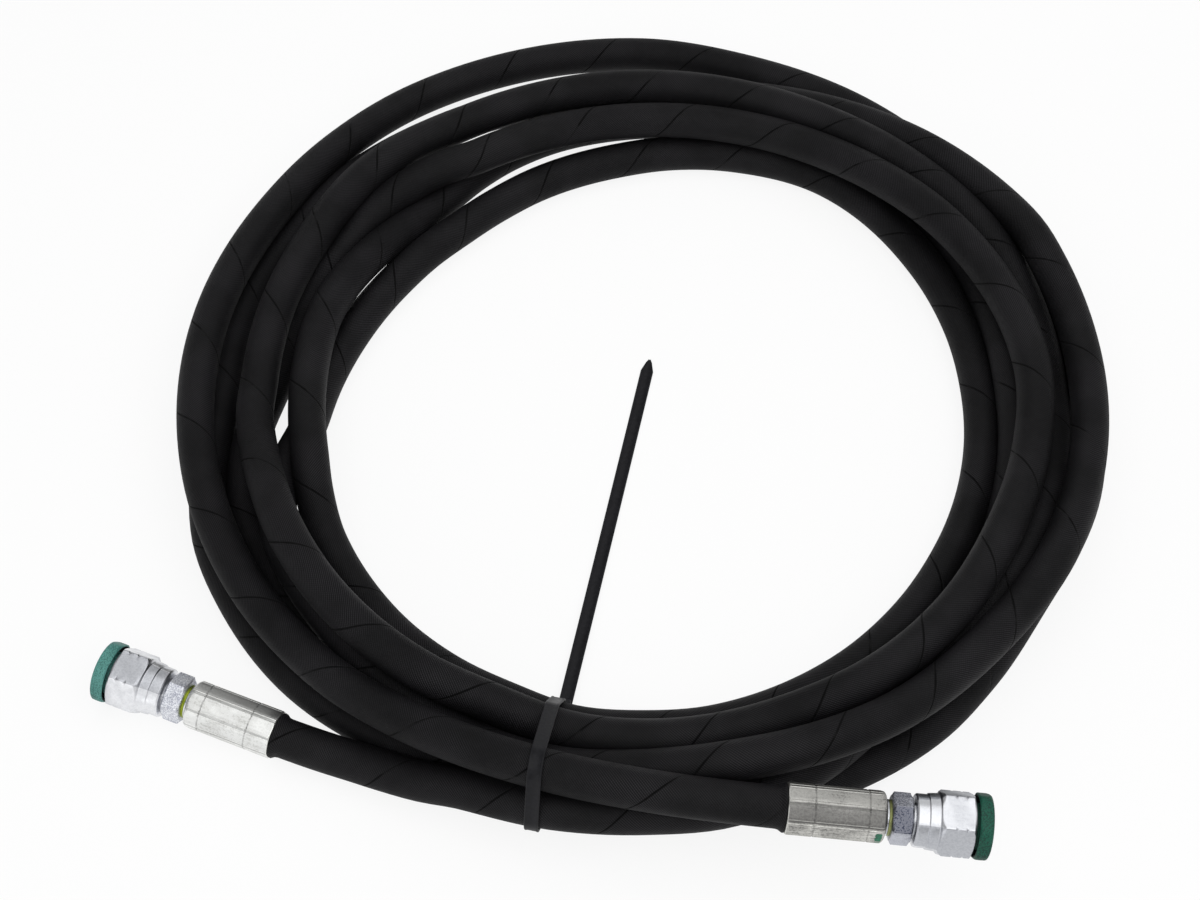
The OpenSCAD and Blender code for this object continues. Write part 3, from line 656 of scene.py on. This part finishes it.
def nut(side, m, roll, mat):
    collar = [(2.7, 9.15), (0.5, 9.15), (0.0, 9.6), (0.0, 13.3), (0.8, 14.0), (6.2, 14.0),
              (6.5, 14.15), (6.8, 14.65), (9.0, 14.85), (11.4, 15.05), (12.0, 15.15)]
    # the rings on the hexagon lie close together where the file marks are
    hexagon = [(d, 18.3) for d in (16.5, 18.6, 19.2, 19.6, 20.0, 20.4, 20.8, 23.0, 24.6, 25.0,
                                   25.4, 25.8, 26.2)]
    hexagon = [(12.7, 16.5), (14.4, 18.25)] + hexagon + [(29.1, 18.25), (30.1, 16.6)]
    inside = [(30.6, 15.75), (30.6, 13.3), (29.6, 12.25), (20.0, 12.25), (12.6, 12.25),
              (12.6, 10.85), (3.0, 10.85), (2.8, 10.4)]
    prof = [(NUT_START + d, r) for d, r in collar + hexagon + inside]
    return turned(side + "_nut_drawn", m, prof, mat, roll, 6, NUT_FLATS, soft=0.22,
                  bump=nut_notch, corner=0.14)


def plug(side, m, roll, mat):
    """A dust plug, from the middle of the cup's floor round its lip to the middle of the face."""
    cup = [(1.6, 0.02), (1.6, 10.2), (1.1, 10.75), (-13.4, 10.75), (-13.4, 11.6), (-12.9, 12.1),
           (4.0, 12.1)]
    flange = [(4.0, 15.2), (0.2, 15.6), (0.0, 15.9), (0.0, 16.3), (0.5, 17.4), (1.1, 17.95),
              (3.2, 18.0), (5.6, 17.9), (6.7, 17.35), (7.3, 16.4), (7.5, 15.2), (7.5, 12.6),
              (6.6, 12.0), (6.5, 4.0), (6.5, 0.02)]
    prof = [(FLANGE_START + d, r) for d, r in cup + flange]
    cap = turned(side + "_plug_drawn", m, prof, mat, roll, 6, PLUG_FLATS, soft=0.5, corner=0.3,
                 closed=False)
    # painted shade: the back of the flange and the groove in it are coloured dark, where shade
    # falls
    cap.data.materials.append(PLUG_SHADE)
    back = m.inverted()
    for face in cap.data.polygons:
        c = back @ face.center
        r, z = math.hypot(c.x, c.y), c.z - FLANGE_START
        if r > GROOVE[0] and (abs(z) < 0.06 or r < GROOVE[1] and -0.1 < z < GROOVE_FLOOR):
            face.material_index = 1
    return cap


def dress(side, m, hex_roll, nut_roll, crimp_roll, mats):
    """Draws one fitting and returns its pieces. A roll turns corners from straight up."""
    ferrule_mat, stem_mat, neck_mat, nut_mat, plug_mat = mats
    body = ferrule(side, m, crimp_roll, ferrule_mat)
    parts = stem(side, m, hex_roll, stem_mat, neck_mat, nut_mat)
    turn = nut(side, m, nut_roll, nut_mat)
    cap = plug(side, m, nut_roll, plug_mat)
    rows = [(body, "hose_and_ends", side + "_ferrule", "ferrule_steel")]
    rows += [(part, "hose_and_ends", side + "_insert_stem", "stem_steel") for part in parts]
    rows += [(turn, side + "_nut", side + "_swivel_nut", "nut_steel"),
             (cap, side + "_plug", side + "_dust_plug", "plug_plastic")]
    for piece, body_name, node_name, slot_name in rows:
        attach(piece, body_name)
        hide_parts(node_name)
    return [row[0] for row in rows]


PAINT_UNDER, PAINT_OVER = -0.1, 0.06  # the dab's two faces, from the ferrule's own
PAINT_RAGGED = 0.35  # how far its two ends waver


def paint_mark(m, roll, start, end, z0, z1):
    """A dab of green paint on the ferrule, from angle start to end and from z0 to z1."""
    steps, rows = 12, 6
    verts, faces = [], []
    for lift in (PAINT_UNDER, PAINT_OVER):
        for i in range(rows + 1):
            for j in range(steps + 1):
                a = start + (end - start) * j / steps
                waver = PAINT_RAGGED * math.sin(1.9 * j + (2.0 if i > rows / 2 else 0.4))
                z = z0 + (z1 - z0) * i / rows + (waver if i in (0, rows) else 0.0)
                # the ferrule's far rim rounds off from z = 48.9
                rim_drop = 0.26 * max(0.0, z - 48.9) ** 2
                q = smin(CRIMP_RADIUS - rim_drop, wall_at(a, CRIMPS, CRIMP_FLATS), 0.25) + lift
                t = math.radians(a + roll)
                verts.append(m @ Vector((q * math.cos(t), q * math.sin(t), z)))
    n, half = steps + 1, (steps + 1) * (rows + 1)
    for i in range(rows):
        for j in range(steps):
            k = i * n + j
            faces.append((k, k + n, k + n + 1, k + 1))
            faces.append((half + k, half + k + 1, half + k + n + 1, half + k + n))
    rim = list(range(n)) + [i * n + steps for i in range(1, rows + 1)]
    rim += [rows * n + j for j in range(steps - 1, -1, -1)]
    rim += [i * n for i in range(rows - 1, 0, -1)]
    for a, b in zip(rim, rim[1:] + rim[:1]):
        faces.append((a, b, half + b, half + a))
    uvs = [tuple((0.0, 0.0) for _ in f) for f in faces]
    dab = link("paint_mark", verts, faces, uvs, PAINT)
    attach(dab, "hose_and_ends")
    return dab


RIGHT_CRIMP_ROLL = 10
dress("left", LEFT, hex_roll=5, nut_roll=29, crimp_roll=6,
      mats=(FERRULE_LEFT, STEM_LEFT, NECK_LEFT, NUT_LEFT, PLUG_LEFT))
right_set = dress("right", RIGHT, hex_roll=-2, nut_roll=34, crimp_roll=RIGHT_CRIMP_ROLL,
                  mats=(FERRULE_RIGHT, STEM_RIGHT, NECK_RIGHT, NUT_RIGHT, PLUG_RIGHT))
right_set.append(paint_mark(RIGHT, RIGHT_CRIMP_ROLL, 56.0, 96.0, 46.4, 50.1))


# ---------------------------------------------------------------- the cable tie
TIE_ANGLE = 258.0  # degrees round the coil
TIE_W, TIE_T, TIE_SLACK = 7.8, 1.3, 0.75
TIE_SKEW, TIE_PIVOT = 0.05, 268.0  # it lies a little askew, turned about this radius
TIE_TURNS = 7  # strands that it goes round
TIE_DROP = 30.0  # degrees below level, where the head sits on the innermost strand
TIE_TIP = (7, 37.5)  # where the tail's end touches the floor, from the coil's centre
TIE_TAPER, TIE_NARROWS = 9, 0.70  # length of the tail's tapered end, share of width it loses
TIE_SAG = 1.2  # how far the tail hangs below a straight line
HEAD_HEIGHT, HEAD_WIDE = 4.0, 10.4


def tie_section():
    """The strap's rounded section, with a shallow channel outside: (across, out)."""
    w, h = TIE_W / 2, TIE_T / 2
    return [(-w, -h + 0.25), (-w + 0.25, -h), (w - 0.25, -h), (w, -h + 0.25), (w, h - 0.3),
            (w - 0.3, h), (w - 1.1, h), (w - 1.4, h - 0.22), (-w + 1.4, h - 0.22), (-w + 1.1, h),
            (-w + 0.3, h), (-w, h - 0.3)]


TIE_SECTION = tie_section()


def hull(points):
    """The convex outline of (x, y) points, in order round it."""
    points = sorted(set(points))

    def half(items):
        out = []
        for p in items:
            while len(out) > 1 and (
                (out[-1][0] - out[-2][0]) * (p[1] - out[-2][1])
                - (out[-1][1] - out[-2][1]) * (p[0] - out[-2][0])
            ) <= 0:
                out.pop()
            out.append(p)
        return out[:-1]

    return half(points) + half(points[::-1])


def tie_point(r, z, across=0.0):
    """A point in the upright plane through the tie, r from the coil's centre."""
    t = math.radians(TIE_ANGLE)
    u = Vector((math.cos(t), math.sin(t), 0))
    w = Vector((-math.sin(t), math.cos(t), 0))
    across += TIE_SKEW * (r - TIE_PIVOT)
    return Vector((COIL[0], COIL[1], 0)) + u * r + w * across + Vector((0, 0, z))


def tie_strap(centres):
    """The closed loop, drawn tight round the strands whose centres are given."""
    rad = HOSE_OD / 2 + TIE_SLACK + TIE_T / 2
    turns = [TAU * j / 48 for j in range(48)]
    ring = hull([(round(r + rad * math.cos(t), 4), round(z + rad * math.sin(t), 4))
                 for r, z in centres for t in turns])
    verts, run = [], [0.0]
    for i, p in enumerate(ring):
        before, after = Vector(ring[i - 1]), Vector(ring[(i + 1) % len(ring)])
        d = (after - before).normalized()
        out = Vector((d[1], -d[0]))
        run.append(run[-1] + (after - Vector(p)).length)
        for x, y in TIE_SECTION:
            q = Vector(p) + out * y
            verts.append(tie_point(q[0], q[1], x) * MM)
    faces, uvs = bands([d / U_UNIT for d in run], len(TIE_SECTION), joined=True)
    strap = link("tie_strap", verts, faces, uvs, TIE, 40.0)
    face_outward(strap.data)
    return strap


def tie_head(foot, run, out):
    """A tapered box with rounded edges. foot is where it sits on the strap's inside, run lies
    along the strap and out away from the hose."""
    bm = bmesh.new()
    shift = -TIE_SKEW * (foot[0] - TIE_PIVOT) / 2
    # along run, along out, and how much of the width there
    corners = [(-4.5, -0.8, 1.0), (4.5, -0.8, 1.0), (4.4, HEAD_HEIGHT, 0.92),
               (-4.4, HEAD_HEIGHT, 0.92)]
    lower, upper = [
        [bm.verts.new(tie_point(*(foot + run * x + out * y), shift + half * s) * MM)
         for x, y, s in corners] for half in (-HEAD_WIDE / 2, HEAD_WIDE / 2)]
    bm.faces.new(lower)
    bm.faces.new(upper[::-1])
    for i in range(4):
        k = (i + 1) % 4
        bm.faces.new((lower[i], upper[i], upper[k], lower[k]))
    bmesh.ops.recalc_face_normals(bm, faces=bm.faces)
    bmesh.ops.bevel(bm, geom=bm.edges[:], offset=0.6 * MM, segments=3, affect="EDGES", profile=0.6)
    mesh = bpy.data.meshes.new("tie_head")
    bm.to_mesh(mesh)
    bm.free()
    mesh.polygons.foreach_set("use_smooth", [True] * len(mesh.polygons))
    mesh.uv_layers.new(name="UVMap")
    head = put_in_scene("tie_head", mesh)
    mesh.set_sharp_from_angle(angle=math.radians(40))
    mesh.materials.append(TIE)
    return head


def tie_tail(foot):
    """The free end, from inside the head down to the floor."""
    start = tie_point(foot[0], foot[1], -TIE_SKEW * (foot[0] - TIE_PIVOT))
    tip = Vector((COIL[0] + TIE_TIP[0], COIL[1] + TIE_TIP[1], TIE_T / 2 + 0.3))
    way = (tip - start).normalized()
    flat = Vector((0, 0, 1)).cross(way).normalized()
    face = way.cross(flat)
    total = (tip - start).length
    stops = [total * k / 40 for k in range(38)]
    stops = sorted(stops + [total - d for d in (TIE_TAPER, 5, 2, 0.6, 0)])
    verts = []
    for s in stops:
        k = 1.0  # how much of the strap's width is left; its thickness shrinks less
        if s > total - TIE_TAPER:
            k = 1 - TIE_NARROWS * (s - (total - TIE_TAPER)) / TIE_TAPER
        if s > total - 0.8:
            k *= 0.7
        drop = Vector((0, 0, -TIE_SAG * math.sin(math.pi * s / total)))
        for x, y in TIE_SECTION:
            verts.append((start + way * s + flat * x * k + face * y * (0.6 + 0.4 * k) + drop) * MM)
    n = len(TIE_SECTION)
    us = [s / U_UNIT for s in stops]
    faces, uvs = bands(us, n)
    faces.append(tuple(range(n)))
    uvs.append(tuple((us[0], j / n) for j in range(n)))
    faces.append(tuple((len(stops) - 1) * n + j for j in range(n - 1, -1, -1)))
    uvs.append(tuple((us[-1], j / n) for j in range(n)))
    tail = link("tie_tail", verts, faces, uvs, TIE, 40.0)
    face_outward(tail.data)
    return tail


def tie_pieces():
    """The strap round the bundle, and the head low inside the coil with its tail."""
    centres = [(ease(TIE_ANGLE + 360 * k, 1), high_at(TIE_ANGLE + 360 * k))
               for k in range(TIE_TURNS)]
    innermost = centres[3]
    drop = math.radians(TIE_DROP)
    out = Vector((-math.cos(drop), -math.sin(drop)))
    run = Vector((math.sin(drop), -math.cos(drop)))
    foot = Vector(innermost) + (HOSE_OD / 2 + TIE_SLACK + TIE_T) * out
    inside_head = foot + out * (HEAD_HEIGHT - 1.5)
    return [tie_strap(centres), tie_head(foot, run, out), tie_tail(inside_head)]


for piece in tie_pieces():
    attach(piece, "hose_and_ends")
    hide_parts("cable_tie")

# ---------------------------------------------------------------- carried-over nodes
INNER = {"nose_o_ring": SEAL, "hose_cover": HOSE, "outer_braid": BRAID, "interlayer": SEAL,
         "inner_braid": BRAID, "inner_tube": SEAL}
for side in ("left", "right"):
    for name, mat in INNER.items():
        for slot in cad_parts[side + "_" + name].material_slots:
            slot.material = mat

# ---------------------------------------------------------------- floor, world and lamps
FLOOR_SHOWN_WHITE = 0.87  # how far the floor is plain white to the camera; the rest is shaded
FLOOR_SIDES = 96
FLOOR_FLAT = (0.5, 1.5, 3.0, 6.0)  # metres
FLOOR_DROP = 0.0002  # it lies just under the hose, so that no two faces share a plane
RIM_BEND, RIM_TOP = 1.2, 1.6
WORLD_STRENGTH = 0.33
LAMPS = [
    # name, place, aim, size in metres, power in watts
    ("key", (0.2, -0.25, 1.9), (0, 0, 0), 3.2, 31),
    ("fill", (1.2, -1.2, 1.6), (0, 0, 0), 2.0, 7),
    ("front_left", (-0.9, -1.6, 0.8), (-0.2, -0.2, 0.03), 1.8, 7),
    ("back", (0.3, 1.8, 1.2), (0, 0, 0), 2.0, 4),
]


def floor_material():
    t = Tree("pale_floor")
    tone = t.noise(t.place(), 30.0, 3)
    diffuse = t.t.nodes.new("ShaderNodeBsdfDiffuse")
    t.put(diffuse.inputs[0], t.mix(tone, (0.90, 0.90, 0.90, 1), (0.92, 0.92, 0.92, 1)))
    glow = t.t.nodes.new("ShaderNodeEmission")
    glow.inputs[0].default_value = (1, 1, 1, 1)
    glow.inputs[1].default_value = 1.0
    ray = t.t.nodes.new("ShaderNodeLightPath")
    seen = t.most(ray.outputs["Is Camera Ray"], ray.outputs["Is Glossy Ray"])
    both = t.t.nodes.new("ShaderNodeMixShader")
    t.put(both.inputs[0], t.mul(seen, FLOOR_SHOWN_WHITE))
    t.put(both.inputs[1], diffuse.outputs[0])
    t.put(both.inputs[2], glow.outputs[0])
    t.put(t.out.inputs[0], both.outputs[0])
    return t.mat


def round_floor():
    """A round pale floor that turns up at its rim, far outside the object."""
    edge = FLOOR_FLAT[-1]
    rings = [(r, 0.0) for r in FLOOR_FLAT]
    rings += [(edge + RIM_BEND * math.sin(t), RIM_BEND - RIM_BEND * math.cos(t))
              for t in (math.radians(15 * k) for k in range(1, 7))]
    rings.append((edge + RIM_BEND, RIM_TOP))
    n = FLOOR_SIDES
    verts = [(r * math.cos(TAU * k / n), r * math.sin(TAU * k / n), z)
             for r, z in rings for k in range(n)]
    faces = [tuple(range(n))]
    for row in range(len(rings) - 1):
        for k in range(n):
            k2 = (k + 1) % n
            faces.append((row * n + k, (row + 1) * n + k, (row + 1) * n + k2, row * n + k2))
    mesh = bpy.data.meshes.new("floor")
    mesh.from_pydata(verts, [], faces)
    mesh.polygons.foreach_set("use_smooth", [True] * len(mesh.polygons))
    mesh.materials.append(floor_material())
    return put_in_scene("floor", mesh)


floor = round_floor()
floor.location = (0, 0, -FLOOR_DROP)

world = bpy.data.worlds.new("studio")
bpy.context.scene.world = world
world.use_nodes = True
sky = world.node_tree.nodes["Background"]
sky.inputs[0].default_value = (1, 1, 1, 1)
sky.inputs[1].default_value = WORLD_STRENGTH

for name, place, aim, size, power in LAMPS:
    data = bpy.data.lights.new(name, "AREA")
    data.shape = "DISK"
    data.size = size
    data.energy = power
    lamp = put_in_scene(name, data)
    lamp.location = place
    lamp.rotation_euler = (Vector(aim) - Vector(place)).to_track_quat("-Z", "Y").to_euler()

bpy.context.scene.view_settings.view_transform = "Standard"
